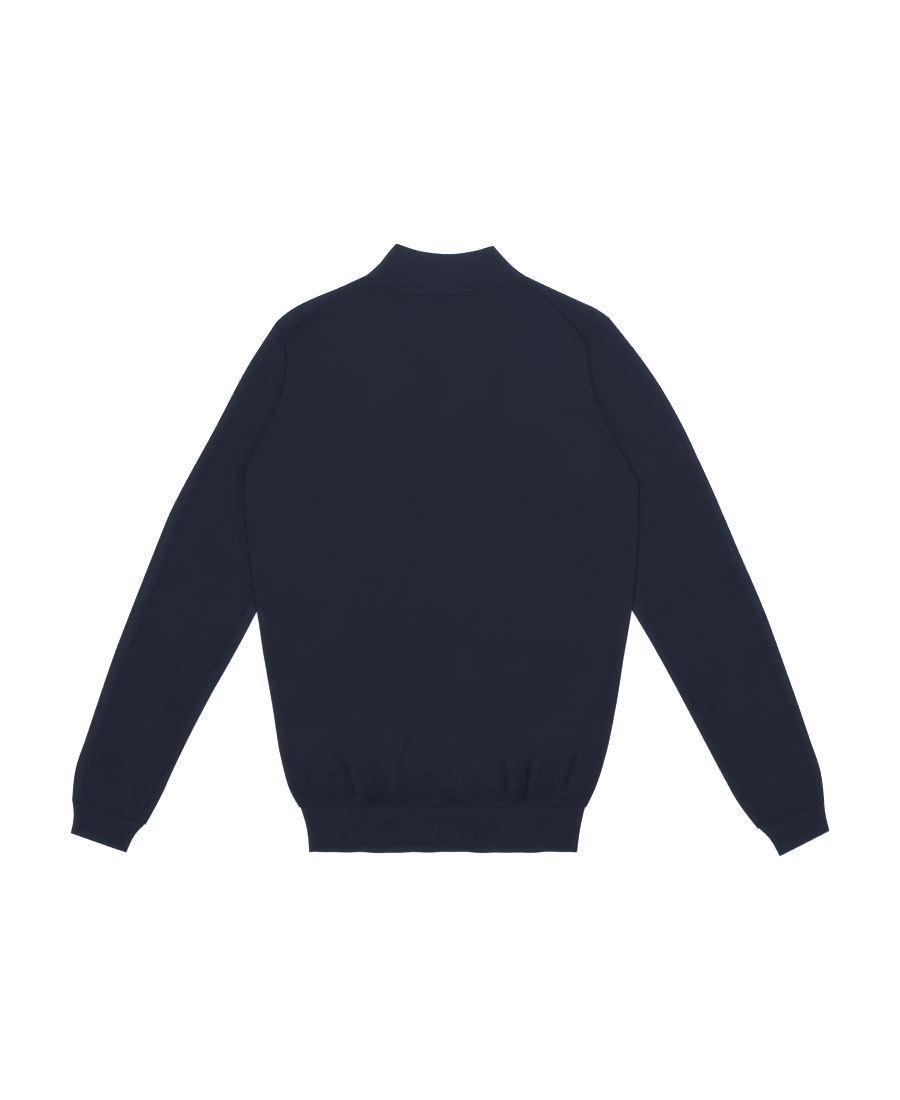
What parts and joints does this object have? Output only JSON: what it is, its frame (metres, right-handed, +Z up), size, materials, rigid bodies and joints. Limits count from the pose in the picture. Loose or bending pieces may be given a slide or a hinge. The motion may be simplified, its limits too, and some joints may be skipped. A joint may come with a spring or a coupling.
{
  "type": "mock-neck sweater",
  "caption": "Long-sleeved fine-knit sweater with a stand-up ribbed collar, ribbed cuffs and a ribbed hem band, laid flat with its back up.",
  "frame": {"origin": "on the surface that the sweater lies on, under the middle of its outline", "axes": "+X across the garment from the sleeve on the picture's left to the one on its right, +Y from the hem to the collar, +Z up out of the surface"},
  "size_m": [0.9266, 0.7481, 0.0065],
  "materials": {
    "jersey": "fine single jersey knit of navy wool yarn, matt with a faint nap",
    "rib": "fine rib knit of the same navy wool yarn, matt"
  },
  "bodies": {
    "root": {"front_panel": "jersey", "back_panel": "jersey", "sleeve_left": "jersey", "sleeve_right": "jersey", "collar": "rib", "hem_rib_front": "rib", "hem_rib_back": "rib", "cuff_left": "rib", "cuff_right": "rib"}
  },
  "joints": []
}
